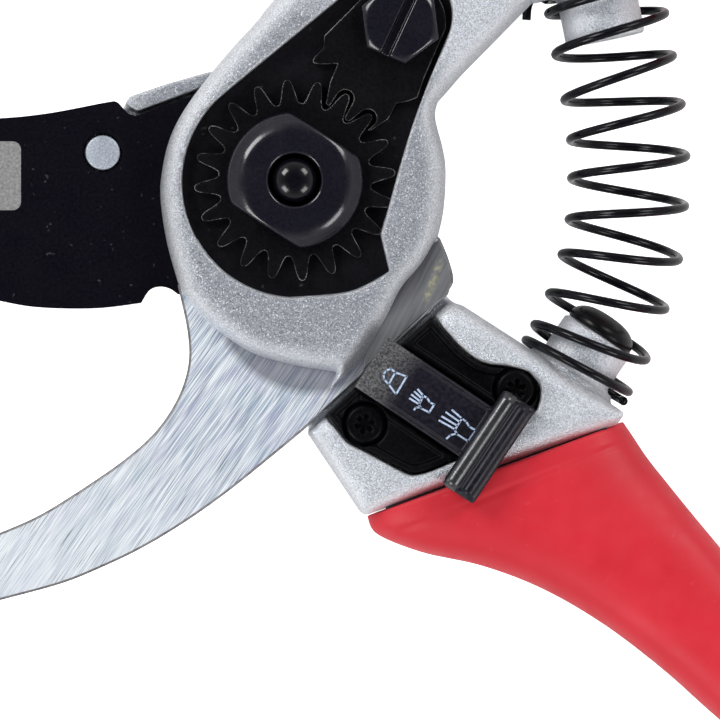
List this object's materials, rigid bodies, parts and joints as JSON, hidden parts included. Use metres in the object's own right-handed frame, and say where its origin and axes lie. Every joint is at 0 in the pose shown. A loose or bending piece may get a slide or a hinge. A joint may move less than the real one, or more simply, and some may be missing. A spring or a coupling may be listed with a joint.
{
  "type": "bypass pruner",
  "caption": "Hand pruner with a black blade passing a fixed hook, an adjustable pivot, a coil return spring, a sliding catch and soft red grips.",
  "frame": {"origin": "on the pivot axis, in the flat outer face of the pivot bolt's head, with the tool lying open on its side", "axes": "+Z along the pivot axis from the bolt head to the nut; +X towards the handles; +Y towards the hook half's handle; the blade points along -X"},
  "size_m": [0.2019, 0.1717, 0.0222],
  "materials": {
    "cast_silver": "fine-grained satin cast metal, brushed on the hook",
    "grip_red": "satin soft plastic",
    "black_steel": "semi-gloss black",
    "bright_steel": "bright",
    "black_sheet": "satin black",
    "spring_black": "semi-gloss black",
    "blade_black": "matte non-stick coating",
    "bronze": "satin",
    "rubber_black": "matte",
    "plastic_black": "satin"
  },
  "bodies": {
    "hook_half": {"hook_forging": "cast_silver", "upper_grip": "grip_red", "pivot_bolt": "black_steel", "bolt_washer": "bright_steel", "pivot_nut": "black_steel", "adjuster_plate": "black_sheet", "adjuster_gear": "black_sheet", "locking_segment": "black_sheet", "locking_screw": "black_steel", "return_spring": "spring_black"},
    "blade_half": {"blade_forging": "cast_silver", "cutting_blade": "blade_black", "blade_pin": "cast_silver", "pivot_bushing": "bronze", "friction_washer": "bright_steel", "bumper": "rubber_black", "catch_housing": "plastic_black", "catch_screw_1": "black_steel", "catch_screw_2": "black_steel", "detent_ball": "bright_steel", "detent_spring": "bright_steel", "lower_grip": "grip_red"},
    "catch": {"catch_slider": "plastic_black"}
  },
  "joints": [
    {"name": "handle_pivot", "type": "hinge", "parent": "hook_half", "child": "blade_half", "pos_m": [0, 0, 0.0098], "axis": [0, 0, 1], "range_deg": [0, 44], "deforming": ["return_spring"]},
    {"name": "catch_slide", "type": "slide", "parent": "blade_half", "child": "catch", "axis": [-0.831, 0.5563, 0], "range_m": [0, 0.0053]}
  ]
}
